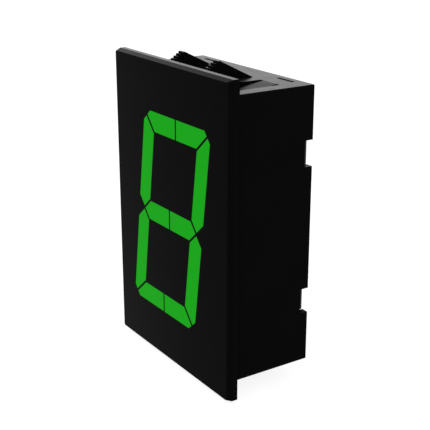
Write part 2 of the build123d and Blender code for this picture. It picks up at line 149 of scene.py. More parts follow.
@dataclass(frozen=True)
class Finish:
    """A surface with patches of two shades, a varied gloss and a fine relief.

    The patches are a slow noise that mixes the two shades. The gloss is a second noise mapped to a
    band of roughness. The relief is a fine noise used as a height.

    Attributes:
        name: The material's name.
        shade: Colour of the ground.
        second_shade: Colour of the patches.
        patch_mm: Size of the patches.
        roughness: Middle of the band of roughness.
        roughness_band: How far the roughness goes to either side of it.
        grain_mm: Size of the relief's grains.
        relief_mm: Height of the relief.
        ior: Index of refraction, left at the default for metal.
        metallic: One for bare metal.
        glow: Colour of the light that comes through the piece, or nothing.
        grazing: Specular level along the surface, or zero where the level is the same all over.
        grazing_power: How fast the level falls as the surface turns to the viewer.
        straight: Specular level of a surface seen straight on.
    """

    name: str
    shade: str
    second_shade: str
    patch_mm: float
    roughness: float
    roughness_band: float
    grain_mm: float
    relief_mm: float
    ior: float = 1.5
    metallic: float = 0.0
    glow: str = ""
    grazing: float = 0.0
    grazing_power: float = 12.0
    straight: float = 0.003

    def material(self) -> bpy.types.Material:
        """Makes the finish's material on the first call, and finds it on later ones.

        Returns:
            The material.
        """
        found = bpy.data.materials.get(self.name)
        if found:
            return found
        made = bpy.data.materials.new(self.name)
        made.use_nodes = True
        tree = made.node_tree
        tree.nodes.clear()
        place = add_node(tree, "ShaderNodeTexCoord").outputs["Object"]
        shader = add_node(tree, "ShaderNodeBsdfPrincipled", {
            "Base Color": self.colour(tree, place),
            "Roughness": self.gloss(tree, place),
            "Normal": self.relief(tree, place),
            "IOR": self.ior,
        })
        self.metal(tree, place, shader)
        if self.grazing:
            self.shine(tree, shader)
        if self.glow:
            shader.inputs["Emission Color"].default_value = linear(self.glow)
            shader.inputs["Emission Strength"].default_value = 1.0
        add_node(tree, "ShaderNodeOutputMaterial", {"Surface": shader.outputs["BSDF"]})
        made.diffuse_color = linear(self.shade)
        return made

    def colour(self, tree: bpy.types.NodeTree, place: bpy.types.NodeSocket) -> bpy.types.NodeSocket:
        """Mixes the two shades by a slow noise.

        Args:
            tree: The material's tree.
            place: The point's place on the piece.

        Returns:
            The socket with the colour.
        """
        patches = add_node(tree, "ShaderNodeTexNoise", {
            "Vector": place, "Scale": per_mm(self.patch_mm), "Detail": PATCH_DETAIL})
        mix = add_node(tree, "ShaderNodeMix", {
            MIX_FACTOR: patches.outputs["Fac"],
            MIX_FIRST: linear(self.shade),
            MIX_SECOND: linear(self.second_shade),
        }, data_type="RGBA")
        return mix.outputs[MIX_RESULT]

    def gloss(self, tree: bpy.types.NodeTree, place: bpy.types.NodeSocket) -> bpy.types.NodeSocket:
        """Maps a noise to a band about the roughness.

        Args:
            tree: The material's tree.
            place: The point's place on the piece.

        Returns:
            The socket with the roughness.
        """
        rub = add_node(tree, "ShaderNodeTexNoise", {
            "Vector": place, "Scale": per_mm(self.patch_mm / RUBS_PER_PATCH), "Detail": RUB_DETAIL})
        band = add_node(tree, "ShaderNodeMapRange", {
            "Value": rub.outputs["Fac"],
            "From Min": NOISE_LOW,
            "From Max": NOISE_HIGH,
            "To Min": self.roughness - self.roughness_band,
            "To Max": self.roughness + self.roughness_band,
        })
        return band.outputs["Result"]

    def relief(self, tree: bpy.types.NodeTree, place: bpy.types.NodeSocket) -> bpy.types.NodeSocket:
        """Uses a fine noise as a height.

        Args:
            tree: The material's tree.
            place: The point's place on the piece.

        Returns:
            The socket with the bent normal.
        """
        grain = add_node(tree, "ShaderNodeTexNoise", {
            "Vector": place, "Scale": per_mm(self.grain_mm), "Detail": GRAIN_DETAIL})
        bump = add_node(tree, "ShaderNodeBump", {
            "Height": grain.outputs["Fac"], "Strength": RELIEF_STRENGTH, "Distance": self.relief_mm * MM})
        return bump.outputs["Normal"]

    def shine(self, tree: bpy.types.NodeTree, shader: bpy.types.Node) -> None:
        """Lets a matt-moulded skin shine at a low angle.

        The specular level is one minus the cosine of the viewing angle, raised to a power and
        multiplied by the level along the surface, plus the level of a surface seen straight on. A
        blend of one half makes the node give one minus the cosine.

        Args:
            tree: The material's tree.
            shader: The shader that takes the level.
        """
        tilt = add_node(tree, "ShaderNodeLayerWeight", {"Blend": 0.5}).outputs["Facing"]
        steep = add_node(tree, "ShaderNodeMath", {0: tilt, 1: self.grazing_power}, operation="POWER")
        level = add_node(tree, "ShaderNodeMath", {
            0: steep.outputs[0], 1: self.grazing, 2: self.straight}, operation="MULTIPLY_ADD")
        tree.links.new(level.outputs[0], shader.inputs["Specular IOR Level"])

    def metal(self, tree: bpy.types.NodeTree, place: bpy.types.NodeSocket, shader: bpy.types.Node) -> None:
        """Sets how metallic the whole surface is."""
        shader.inputs["Metallic"].default_value = self.metallic


@dataclass(frozen=True)
class BandedFinish(Finish):
    """A finish whose piece is bare tinned metal beyond a distance from its middle along one axis.

    The mask is one where the absolute distance from the middle, along the axis, passes the reach.

    Attributes:
        axis: The axis.
        middle_mm: The middle's place along it.
        reach_mm: The distance at which the metal begins.
        tin: The metal's colour.
    """

    axis: str = "Z"
    middle_mm: float = 0.0
    reach_mm: float = 0.0
    tin: str = "#C9C8C3"

    def mask(self, tree: bpy.types.NodeTree, place: bpy.types.NodeSocket) -> bpy.types.NodeSocket:
        """Tells the bare metal from the body.

        Args:
            tree: The material's tree.
            place: The point's place on the piece.

        Returns:
            The socket that is one on the metal and zero on the body.
        """
        along = add_node(tree, "ShaderNodeSeparateXYZ", {0: place}).outputs[self.axis]
        away = add_node(tree, "ShaderNodeMath", {0: along, 1: self.middle_mm * MM}, operation="SUBTRACT")
        far = add_node(tree, "ShaderNodeMath", {0: away.outputs[0]}, operation="ABSOLUTE")
        past = add_node(tree, "ShaderNodeMath", {
            0: far.outputs[0], 1: self.reach_mm * MM}, operation="GREATER_THAN")
        return past.outputs[0]

    def colour(self, tree: bpy.types.NodeTree, place: bpy.types.NodeSocket) -> bpy.types.NodeSocket:
        """Lays the metal's colour over the body's where the mask says so.

        Args:
            tree: The material's tree.
            place: The point's place on the piece.

        Returns:
            The socket with the colour.
        """
        body = super().colour(tree, place)
        mix = add_node(tree, "ShaderNodeMix", {
            MIX_FACTOR: self.mask(tree, place),
            MIX_FIRST: body,
            MIX_SECOND: linear(self.tin),
        }, data_type="RGBA")
        return mix.outputs[MIX_RESULT]

    def metal(self, tree: bpy.types.NodeTree, place: bpy.types.NodeSocket, shader: bpy.types.Node) -> None:
        """Makes the masked part metallic."""
        tree.links.new(self.mask(tree, place), shader.inputs["Metallic"])


# Black ABS from a spark-eroded mould: nearly black, with a satin sheen that turns bright at a low angle
BLACK_ABS = Finish(
    "moulded_black_abs", "#0A0A0A", "#0C0C0C", patch_mm=22, roughness=0.3, roughness_band=0.03,
    grain_mm=0.45, relief_mm=0.008, grazing=4.8)
# Tinted diffusing acrylic, lit from behind: an even green glow under a satin skin
LIT_ACRYLIC = Finish(
    "lit_green_acrylic", "#041204", "#051605", patch_mm=14, roughness=0.3, roughness_band=0.03,
    grain_mm=0.5, relief_mm=0.008, ior=1.49, glow="#18A218", grazing=4.8)
# White ABS as moulded for reflectors: a bright, even white with a satin skin
WHITE_ABS = Finish(
    "moulded_white_abs", "#E2E2DE", "#DADAD5", patch_mm=18, roughness=0.45, roughness_band=0.05,
    grain_mm=0.5, relief_mm=0.01, ior=1.53)
# Glass laminate under green solder mask: a dark, glossy lacquer, a little uneven over the weave
SOLDER_MASK = Finish(
    "green_solder_mask", "#073A1E", "#094224", patch_mm=9, roughness=0.26, roughness_band=0.05,
    grain_mm=0.6, relief_mm=0.008, ior=1.42)
# Copper under the mask: the same lacquer, a shade lighter
MASKED_COPPER = Finish(
    "masked_copper", "#14602F", "#186A36", patch_mm=7, roughness=0.26, roughness_band=0.05,
    grain_mm=0.6, relief_mm=0.006, ior=1.42)
# Tin and lead alloy: bright where it flowed, duller where it set last
SOLDER = Finish(
    "bright_solder", "#BFBFBC", "#A9A9A6", patch_mm=1.2, roughness=0.24, roughness_band=0.08,
    grain_mm=0.5, relief_mm=0.02, metallic=1.0)
# Brass pins under a thin gold flash: smooth pale yellow metal
GOLD_FLASH = Finish(
    "gold_flashed_pin", "#D8B368", "#CFA85C", patch_mm=2, roughness=0.22, roughness_band=0.06,
    grain_mm=0.5, relief_mm=0.004, metallic=1.0)
# Steel under bright zinc: a cool grey metal with soft lights
ZINC_STEEL = Finish(
    "zinc_plated_steel", "#B9BCC0", "#A8ABB0", patch_mm=1.5, roughness=0.32, roughness_band=0.08,
    grain_mm=0.4, relief_mm=0.008, metallic=1.0)
# Natural nylon as moulded for connectors: milky and slightly waxy
NATURAL_NYLON = Finish(
    "natural_nylon", "#E4DFCF", "#DAD4C2", patch_mm=6, roughness=0.42, roughness_band=0.06,
    grain_mm=0.5, relief_mm=0.012, ior=1.53)
# Glass-filled black polyester as moulded for pin strips: a dull black with a fine grain
BLACK_POLYESTER = Finish(
    "black_polyester", "#0C0C0E", "#111113", patch_mm=5, roughness=0.5, roughness_band=0.07,
    grain_mm=0.35, relief_mm=0.02, ior=1.4)
# White epoxy ink, screen printed: matt and a little grey where it is thin
WHITE_INK = Finish(
    "white_ink", "#D9DBD6", "#C9CCC6", patch_mm=2, roughness=0.6, roughness_band=0.05,
    grain_mm=0.4, relief_mm=0.01)
# White polyamide as moulded for diode packages: a warm white with a satin skin
WHITE_POLYAMIDE = Finish(
    "white_polyamide", "#E6E6DA", "#DEDDCB", patch_mm=2, roughness=0.35, roughness_band=0.05,
    grain_mm=0.4, relief_mm=0.008)
# Fired ceramic body of a small capacitor: an even tan, half matt
TAN_CERAMIC = Finish(
    "fired_tan_ceramic", "#9A7B58", "#8C6E4C", patch_mm=1.5, roughness=0.4, roughness_band=0.06,
    grain_mm=0.3, relief_mm=0.01)
# Glazed body of a chip resistor: black and glassy
GLAZED_CERAMIC = Finish(
    "glazed_chip", "#16161A", "#1C1C20", patch_mm=1.5, roughness=0.25, roughness_band=0.05,
    grain_mm=0.3, relief_mm=0.006)
# Shrunk sleeve on the capacitor's can: a bluish black, glossy film
SHRUNK_SLEEVE = Finish(
    "shrunk_sleeve", "#14161F", "#181B26", patch_mm=4, roughness=0.3, roughness_band=0.05,
    grain_mm=0.4, relief_mm=0.006)


def resin_chip(name: str, middle_mm: float, reach_mm: float) -> BandedFinish:
    """Gives black moulding resin with tinned leads beyond the body's two long sides.

    The resin is dull and slightly grainy, and the leads are a soft silver.

    Args:
        name: The material's name.
        middle_mm: Height of the body's middle.
        reach_mm: Half the body's width.

    Returns:
        The finish of one chip.
    """
    return BandedFinish(
        name, "#111112", "#161617", patch_mm=3, roughness=0.55, roughness_band=0.06,
        grain_mm=0.3, relief_mm=0.02, ior=1.4, middle_mm=middle_mm, reach_mm=reach_mm)


def cover(finishes: dict[str, Finish]) -> None:
    """Gives every model node whose name starts with a key that key's finish.

    Args:
        finishes: Finish by the start of a node's name; the longest start that fits counts.
    """
    for name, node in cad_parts.items():
        keys = [key for key in finishes if name.startswith(key)]
        if keys:
            node.data.materials.clear()
            node.data.materials.append(finishes[max(keys, key=len)].material())


# Surfaces

def grid_faces(rows: int, columns: int, around: bool) -> list[list[int]]:
    """Quads between neighbouring rows and columns of a grid of points.

    Args:
        rows: Number of rows.
        columns: Number of points in a row.
        around: Whether the last column joins the first.

    Returns:
        Four indices for each quad.
    """
    i, j = np.meshgrid(np.arange(rows - 1), np.arange(columns if around else columns - 1), indexing="ij")
    here, beside = i * columns + j, i * columns + (j + 1) % columns
    quads = np.stack([here, beside, beside + columns, here + columns], axis=-1)
    return quads.reshape(-1, 4).tolist()


def repeated(faces: list[list[int]], size: int, count: int) -> list[list[int]]:
    """Copies the faces of one shape for each of its copies, which have a number of points each.

    Args:
        faces: The first copy's faces.
        size: Number of points in a copy.
        count: Number of copies.

    Returns:
        The faces of all copies.
    """
    return [[corner + i * size for corner in face] for i in range(count) for face in faces]


def joined(parts: Iterable[Surface]) -> Surface:
    """Joins several surfaces into one.

    Args:
        parts: The surfaces.

    Returns:
        Their points and faces, in order.
    """
    points, faces, start = [], [], 0
    for some_points, some_faces in parts:
        points.append(some_points)
        faces += [[corner + start for corner in face] for face in some_faces]
        start += len(some_points)
    return np.concatenate(points), faces


def carried(path: np.ndarray, width: float, low: float, high: float, closed: bool = False) -> Surface:
    """Carries a flat rectangular profile along a path on the board's rear face.

    At each point the profile's two edges stand half the width to either side, along the mitre of the
    two runs that meet there, and the mitre is lengthened so that both runs keep their width.

    Args:
        path: One row of x and z for each point, in millimetres.
        width: Width of the strip.
        low: Depth of its underside.
        high: Depth of its top.
        closed: Whether the last point joins the first.

    Returns:
        The strip's surface.
    """
    count = len(path)
    ahead = np.roll(path, -1, axis=0) - path
    ahead /= np.linalg.norm(ahead, axis=1)[:, None]
    behind = np.roll(ahead, 1, axis=0)
    if not closed:
        ahead[-1] = behind[-1]
        behind[0] = ahead[0]
    normal_a = np.stack([-ahead[:, 1], ahead[:, 0]], axis=1)
    normal_b = np.stack([-behind[:, 1], behind[:, 0]], axis=1)
    mitre = normal_a + normal_b
    mitre /= (1 + (normal_a * normal_b).sum(axis=1))[:, None]
    left, right = path + mitre * width / 2, path - mitre * width / 2
    corners = ((left, low), (left, high), (right, high), (right, low))
    rings = [np.column_stack([side[:, 0], np.full(count, depth), side[:, 1]]) for side, depth in corners]
    points = np.stack(rings, axis=1).reshape(-1, 3) * MM
    faces = grid_faces(count + 1 if closed else count, len(corners), True)
    faces = [[corner % len(points) for corner in face] for face in faces]
    if not closed:
        first, last = range(len(corners)), range(len(points) - len(corners), len(points))
        faces += [list(first)[::-1], list(last)]
    return points, faces


def turned(spots: np.ndarray, profile: np.ndarray, base: float, sides: int = 14) -> Surface:
    """Turns one profile about the depth axis at each of many places.

    A point lies at its radius times the cosine and sine of its angle from the place, and at its
    height above the base. The first and last rings are closed.

    Args:
        spots: One row of x and z for each place, in millimetres.
        profile: One row of radius and height for each ring.
        base: Depth that the heights start from.
        sides: Number of points round a ring.

    Returns:
        The surface of all the turned shapes.
    """
    angle = 2 * pi * np.arange(sides) / sides
    around = np.stack([np.cos(angle), np.sin(angle)], axis=1)
    ring = profile[:, None, :1] * around[None]
    x = spots[:, None, None, 0] + ring[None, ..., 0]
    z = spots[:, None, None, 1] + ring[None, ..., 1]
    y = np.broadcast_to((base + profile[:, 1])[None, :, None], x.shape)
    points = np.stack([x, y, z], axis=-1).reshape(-1, 3) * MM
    size = len(profile) * sides
    ends = [list(range(sides)), list(range(size - sides, size))[::-1]]
    return points, repeated(grid_faces(len(profile), sides, True) + ends, size, len(spots))


def piece(
    name: str, surface: Surface, finish: Finish, smooth: bool = False
) -> bpy.types.Object:
    """Makes one piece of a surface, with its faces turned outwards.

    Args:
        name: The piece's name.
        surface: Its points and faces.
        finish: The finish that covers the piece.
        smooth: Whether the faces shade as one surface.

    Returns:
        The new object, which rides on the module.
    """
    points, faces = surface
    mesh = bpy.data.meshes.new(name)
    mesh.from_pydata(points.tolist(), [], faces)
    shape = bmesh.new()
    shape.from_mesh(mesh)
    bmesh.ops.remove_doubles(shape, verts=shape.verts, dist=WELD_MM * MM)
    bmesh.ops.recalc_face_normals(shape, faces=shape.faces)
    shape.to_mesh(mesh)
    shape.free()
    mesh.polygons.foreach_set("use_smooth", [smooth] * len(mesh.polygons))
    made = bpy.data.objects.new(name, mesh)
    bpy.context.scene.collection.objects.link(made)
    mesh.materials.append(finish.material())
    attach(made, "root")
    return made


# Sub-assemblies

@dataclass
class Housing:
    """The one-piece moulding, with its edges broken by a small radius.

    The edges round the windows stay crisp, as a parting insert leaves them.
    """

    # The long sharp edges that are broken, away from the windows
    edge_radius_mm: float = 0.25
    edge_steps: int = 3
    broken_degrees: float = 15.0
    shortest_edge_mm: float = 12.5
    window_margin_mm: float = 12.0
    arc_profile: float = 0.5
    # The plate's corners
    plate_half_width_mm: float = CAD_BOX[1].x / MM
    plate_half_height_mm: float = 75.0
    corner_mm: float = 6.0
    corner_radius_mm: float = 0.9
    shortest_corner_mm: float = 1.0
    # The crests of the snap teeth's steps
    step_radius_mm: float = 0.32
    crest_degrees: float = 60.0
    crest_rise_mm: float = 0.5
    shortest_crest_mm: float = 3.0
    # The shading of the narrow strips on rounded edges
    strip_mm: float = 0.8
    strip_turn_degrees: float = 33.0
    area_power: int = 3
    # The model's long edges and notches
    model_round_mm: float = 1.4
    model_notch_mm: float = 4.7
    # The outer skin that the photograph shows
    skin_half_width_mm: float = 45.85
    skin_half_height_mm: float = 67.45
    skin_depth_mm: float = 43.2
    skin_notch_mm: float = 4.55
    skin_round_mm: float = 0.76
    # How near a point of a plane lies to it, and how far from the plate and the rim the box is measured
    near_mm: float = 0.02
    clear_mm: float = 1.0
    # How the model's loose triangles are merged
    weld_mm: float = 0.002
    flat_degrees: float = 0.5

    def fitted(self, points: np.ndarray) -> np.ndarray:
        """Moves the box's outer skin by tenths of a millimetre, to the outline that the photograph shows.

        The side, top and bottom planes take their new distance from the middle. Each long edge's arc is
        drawn again: its points keep their angle and take the new radius about the new centre. The rear
        rim and the notches' front edges come forward.

        Args:
            points: One row of x, y and z for each point, in millimetres.

        Returns:
            The moved points.
        """
        x, y, z = points.T.copy()
        near, rear = self.near_mm, y.max()
        half_x = np.abs(x[y > self.clear_mm]).max()
        half_z = np.abs(z[y > rear - self.clear_mm]).max()
        centre_x, centre_z = half_x - self.model_round_mm, half_z - self.model_round_mm
        skin = (y > -near) & (np.abs(x) < half_x + near) & (np.abs(z) < half_z + near)
        arc = skin & (np.abs(x) > centre_x - near) & (np.abs(z) > centre_z - near)
        side = skin & ~arc & (np.abs(x) > half_x - near)
        level = skin & ~arc & (np.abs(z) > half_z - near)
        notch = np.abs(y - (rear - self.model_notch_mm)) < near
        angle = np.arctan2(np.abs(z) - centre_z, np.abs(x) - centre_x)
        arc_x = self.skin_half_width_mm + self.skin_round_mm * (np.cos(angle) - 1)
        arc_z = self.skin_half_height_mm + self.skin_round_mm * (np.sin(angle) - 1)
        x = np.where(side, np.sign(x) * self.skin_half_width_mm, x)
        z = np.where(level, np.sign(z) * self.skin_half_height_mm, z)
        x = np.where(arc, np.sign(x) * arc_x, x)
        z = np.where(arc, np.sign(z) * arc_z, z)
        y = np.where(y > rear - near, self.skin_depth_mm, y)
        y = np.where(notch, self.skin_depth_mm - self.skin_notch_mm, y)
        return np.column_stack([x, y, z])

    @staticmethod
    def ends(edge: bmesh.types.BMEdge) -> np.ndarray:
        """Places of an edge's two ends, one row each, in millimetres."""
        return np.array([list(vertex.co) for vertex in edge.verts]) / MM

    def is_corner(self, edge: bmesh.types.BMEdge) -> bool:
        """Tells whether an edge is one of the plate's short corner edges, which run from front to rear.

        Args:
            edge: One edge of the merged copy.

        Returns:
            True for a corner edge.
        """
        ends = self.ends(edge)
        corner = np.array([self.plate_half_width_mm, self.plate_half_height_mm])
        near = np.abs(corner - np.abs(ends[:, [0, 2]])) < self.corner_mm
        return bool(near.all()) and abs(ends[0, 1] - ends[1, 1]) > self.shortest_corner_mm

    def is_step(self, edge: bmesh.types.BMEdge) -> bool:
        """Tells whether an edge is the crest of one of the snap teeth's steps.

        Args:
            edge: One edge of the merged copy.

        Returns:
            True for a sharp crest above the box that runs across it.
        """
        if len(edge.link_faces) != 2 or edge.calc_face_angle_signed() < radians(self.crest_degrees):
            return False
        ends = self.ends(edge)
        above = np.abs(ends[:, 2]).min() > self.skin_half_height_mm + self.crest_rise_mm
        across = abs(ends[0, 0] - ends[1, 0]) > self.shortest_crest_mm
        return bool(above and across and ends[0, 1] > 0)

    def is_long(self, edge: bmesh.types.BMEdge) -> bool:
        """Tells whether an edge is a long sharp one outside the windows' part of the face.

        Args:
            edge: One edge of the merged copy.

        Returns:
            True for an edge that is broken.
        """
        if len(edge.link_faces) != 2 or edge.calc_face_angle() < radians(self.broken_degrees):
            return False
        ends = self.ends(edge)
        windows = np.array([self.plate_half_width_mm, self.plate_half_height_mm]) - self.window_margin_mm
        in_window = (np.abs(ends[:, [0, 2]]) < windows).all() and (ends[:, 1] < 0).all()
        return edge.calc_length() > self.shortest_edge_mm * MM and not in_window

    def corner_normals(self, shape: bmesh.types.BMesh) -> list[Vector]:
        """Gives each face corner its shading normal.

        A broad face keeps its own normal. On the narrow strips of a rounded edge, a corner takes the
        normals of the faces round it that turn little from its own, weighted by their area cubed, so
        that the broad neighbour counts alone.

        Args:
            shape: The rounded copy.

        Returns:
            One normal for each corner, in the order of the faces.
        """
        shape.normal_update()
        least = cos(radians(self.strip_turn_degrees))
        weights = {face: (face.calc_area() / MM ** 2) ** self.area_power for face in shape.faces}
        normals = []
        for face in shape.faces:
            width = face.calc_area() / max(edge.calc_length() for edge in face.edges)
            strip = width < self.strip_mm * MM
            for corner in face.loops:
                around = corner.vert.link_faces
                near = [face]
                if strip:
                    near = [other for other in around if other.normal.dot(face.normal) > least]
                total = sum((other.normal * weights[other] for other in near), Vector())
                normals.append(total.normalized())
        return normals

    def build(self) -> bpy.types.Object:
        """Copies the moulding, fits its skin, merges its loose triangles and rounds its edges.

        Returns:
            The copy, which stands for the model's housing.
        """
        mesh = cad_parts["housing"].data.copy()
        mesh.name = "housing_moulding"
        points = np.empty(3 * len(mesh.vertices))
        mesh.vertices.foreach_get("co", points)
        mesh.vertices.foreach_set("co", (self.fitted(points.reshape(-1, 3) / MM) * MM).ravel())
        shape = bmesh.new()
        shape.from_mesh(mesh)
        bmesh.ops.remove_doubles(shape, verts=shape.verts, dist=self.weld_mm * MM)
        bmesh.ops.dissolve_limit(
            shape, angle_limit=radians(self.flat_degrees), verts=shape.verts, edges=shape.edges)
        roundings = (
            (self.is_corner, self.corner_radius_mm),
            (self.is_step, self.step_radius_mm),
            (self.is_long, self.edge_radius_mm),
        )
        for is_rounded, radius in roundings:
            bmesh.ops.bevel(
                shape, geom=[edge for edge in shape.edges if is_rounded(edge)], offset=radius * MM,
                offset_type="OFFSET", segments=self.edge_steps, profile=self.arc_profile,
                affect="EDGES", clamp_overlap=True)
        normals = self.corner_normals(shape)
        shape.to_mesh(mesh)
        shape.free()
        mesh.polygons.foreach_set("use_smooth", [True] * len(mesh.polygons))
        mesh.normals_split_custom_set(normals)
        mesh.materials.clear()
        mesh.materials.append(BLACK_ABS.material())
        made = bpy.data.objects.new("housing_moulding", mesh)
        bpy.context.scene.collection.objects.link(made)
        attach(made, "root")
        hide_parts("housing")
        return made


@dataclass
class LightUnit:
    """Lenses, light box, diode board and what it carries."""

    finishes: dict[str, Finish] = field(default_factory=lambda: {
        "lens_": LIT_ACRYLIC,
        "light_box_screws": ZINC_STEEL,
        "light_box": WHITE_ABS,
        "led_board": SOLDER_MASK,
        "leds_": WHITE_POLYAMIDE,
        "segment_resistors": GLAZED_CERAMIC,
        "link_bar_": BLACK_POLYESTER,
        "link_pins_": GOLD_FLASH,
    })

    def dress(self) -> None:
        """Gives each node its finish."""
        cover(self.finishes)


@dataclass
class RearBoard:
    """The rear board with its chips and connectors, its copper, ink and solder.

    Places are x and z on the board's rear face, and the face, the chips and the link sockets are read
    from the model.
    """

    # Heights and widths of the copper and the ink
    copper_mm: float = 0.045
    ink_mm: float = 0.03
    trace_mm: float = 0.38
    supply_mm: float = 1.9
    ink_line_mm: float = 0.22
    # The chips' leads and the sockets' pins
    lead_pitch_mm: float = 1.27
    leads: int = 10
    pin_pitch_mm: float = 2.54
    link_pins: int = 8
    signal_columns: int = 5
    capacitor_lead_mm: float = 2.5
    # Where the resin ends and the bare leads begin
    chip_half_width_mm: float = 3.75
    regulator_half_width_mm: float = 3.1
    regulator_shift_mm: float = 0.7
    # The fans: their first run's distance from the leads, their spacing and their turn to the sockets
    fan_gap_mm: float = 1.6
    fan_pitch_mm: float = 0.85
    fan_turn_mm: float = 26.6
    corner_cut_mm: float = 0.8
    # The corners of the two broad runs from the power connector
    supply_turns_mm: tuple = ((-2.54, -41.5), (-8.0, -36.0), (-15.5, -36.0), (-24.28, -27.2))
    ground_turns_mm: tuple = ((2.54, -41.5), (8.0, -36.0), (14.0, -36.0))
    ground_rise_mm: float = -30.0
    regulator_overlap_mm: float = 1.0
    # The printed frames and dots
    chip_gap_mm: float = 0.7
    connector_gap_mm: float = 0.6
    dot_radius_mm: float = 0.4
    dot_aside_mm: float = 1.6
    dot_up_mm: float = 0.8
    # The solder pillows under the chips' feet
    pad_half_width_mm: float = 0.32
    pad_half_length_mm: float = 0.95
    pad_shift_mm: float = 0.35
    pad_base_mm: float = 0.02
    pad_rise_mm: float = 0.2
    pad_power: int = 4
    pad_grid: tuple = (7, 5)
    # The solder cones, with the pin's end as radius and height of its last rings
    cone_top_mm: float = 0.36
    cone_skirt_mm: float = 0.62
    cone_power: float = 2.2
    cone_height_mm: float = 0.95
    cone_rings: int = 7
    pin_end_mm: tuple = ((0.3, 1.05), (0.12, 1.1))
    # The vias: below the signal connector in a shallow V, and in two rows on the bus
    via_row_mm: float = 31.5
    via_step_mm: float = 1.3
    via_stagger_mm: float = 3.6
    via_radius_mm: float = 0.5
    via_rim_mm: float = 0.42
    via_hole_mm: float = 0.2
    via_crown_mm: float = 0.03

    face: float = field(init=False)
    chips: dict[str, np.ndarray] = field(init=False)
    link_x: float = field(init=False)

    def __post_init__(self) -> None:
        """Reads the places of the board and its parts from the model."""
        self.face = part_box("driver_board")[1].y / MM
        self.chips = {name: self.span(f"driver_chip_{name}") for name in ("upper", "lower")}
        self.link_x = self.middle("link_socket_right")[0]

    @staticmethod
    def span(node: str) -> np.ndarray:
        """Lowest and highest x and z of a node, in millimetres."""
        return np.array([[corner.x, corner.z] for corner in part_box(node)]) / MM

    def middle(self, node: str) -> np.ndarray:
        """Middle of a node in x and z, in millimetres."""
        return self.span(node).mean(axis=0)

    def dress(self) -> None:
        """Gives each node its finish, and each chip bare leads where its own body ends."""
        finishes: dict[str, Finish] = {
            "driver_board": SOLDER_MASK,
            "signal_connector": BLACK_POLYESTER,
            "link_port_": BLACK_POLYESTER,
            "signal_pins": GOLD_FLASH,
            "power_connector": NATURAL_NYLON,
            "power_pins": SOLDER,
            "link_port_pins": GOLD_FLASH,
            "link_socket_": BLACK_POLYESTER,
            "smoothing_capacitor": SHRUNK_SLEEVE,
            "ceramic_capacitors": TAN_CERAMIC,
        }
        for name, span in self.chips.items():
            finishes[f"driver_chip_{name}"] = resin_chip(
                f"resin_chip_{name}", float(span.mean(axis=0)[1]), self.chip_half_width_mm)
        regulator = float(self.middle("regulator_chip")[1]) + self.regulator_shift_mm
        finishes["regulator_chip"] = resin_chip("resin_regulator", regulator, self.regulator_half_width_mm)
        cover(finishes)

    def lead_places(self, name: str, row: int) -> np.ndarray:
        """Ends of one row of a chip's leads, row 1 above and -1 below.

        Args:
            name: The chip's name.
            row: Which long side.

        Returns:
            One row of x and z for each lead.
        """
        span = self.chips[name]
        x = (np.arange(self.leads) - (self.leads - 1) / 2) * self.lead_pitch_mm
        return np.column_stack([x, np.full(self.leads, span[(row + 1) // 2, 1])])

    def signal_vias(self) -> np.ndarray:
        """Places of the vias below the signal connector, each column's a step higher than its inner one.

        Returns:
            One row of x and z for each via.
        """
        column = np.arange(self.signal_columns) - (self.signal_columns - 1) / 2
        return np.column_stack([
            column * self.pin_pitch_mm, self.via_row_mm + np.abs(column) * self.via_step_mm])

    def run(self, path: Iterable, width: float) -> Surface:
        """One copper run along a path on the board."""
        return carried(np.array(path), width, self.face, self.face + self.copper_mm)

    def bus(self) -> list[Surface]:
        """Straight runs between the facing leads of the two chips.

        Returns:
            One surface for each run.
        """
        top, bottom = self.chips["upper"][0, 1], self.chips["lower"][1, 1]
        places = self.lead_places("upper", -1)[:, 0]
        return [self.run([[x, top], [x, bottom]], self.trace_mm) for x in places]

    def fan_path(self, level: int, side: int, number: int, lead: np.ndarray) -> list[list[float]]:
        """One run of a fan, with cut corners: off the chip, out to the side, along it and in to its pin.

        Args:
            level: 1 for the upper chip and -1 for the lower one.
            side: 1 for the right and -1 for the left.
            number: Place in the fan, counted from the run nearest the chip.
            lead: Place of a lead, where the run starts, or at its mirror image on the other side.

        Returns:
            Places along the run.
        """
        cut = self.corner_cut_mm
        x, z = side * abs(lead[0]), lead[1]
        out = z + level * (self.fan_gap_mm + self.fan_pitch_mm * number)
        turn = side * (self.fan_turn_mm + self.fan_pitch_mm * number)
        pin = level * (number + 0.5) * self.pin_pitch_mm
        return [
            [x, z], [x, out - level * cut], [x + side * cut, out], [turn - side * cut, out],
            [turn, out - level * cut], [turn, pin + level * cut], [turn + side * cut, pin],
            [side * self.link_x, pin]]

    def fans(self) -> list[Surface]:
        """Runs from the chips' outer leads to the link sockets, four to each side of a chip.

        Returns:
            One surface for each run.
        """
        runs = []
        for level, name in ((1, "upper"), (-1, "lower")):
            leads = self.lead_places(name, level)
            for side in (-1, 1):
                for number in range(self.link_pins // 2):
                    runs.append(self.run(self.fan_path(level, side, number, leads[number]), self.trace_mm))
        return runs

    def signal_runs(self) -> list[Surface]:
        """Short runs from the signal connector down to its vias.

        Returns:
            One surface for each run.
        """
        start = self.span("signal_connector")[0, 1]
        return [self.run([[x, start], [x, z]], self.trace_mm) for x, z in self.signal_vias()]

    def supply_runs(self) -> list[Surface]:
        """Two broad runs from the power connector, one to the regulator and one to the capacitor.

        Returns:
            One surface for each run.
        """
        start = self.span("power_connector")[1, 1]
        regulator = self.span("regulator_chip")[0, 1] + self.regulator_overlap_mm
        x, z = self.middle("smoothing_capacitor")
        supply, ground = self.supply_turns_mm, self.ground_turns_mm
        to_regulator = [[supply[0][0], start], *supply, [supply[-1][0], regulator]]
        to_capacitor = [
            [ground[0][0], start], *ground, [x, self.ground_rise_mm], [x, z - self.capacitor_lead_mm]]
        return [self.run(path, self.supply_mm) for path in (to_regulator, to_capacitor)]

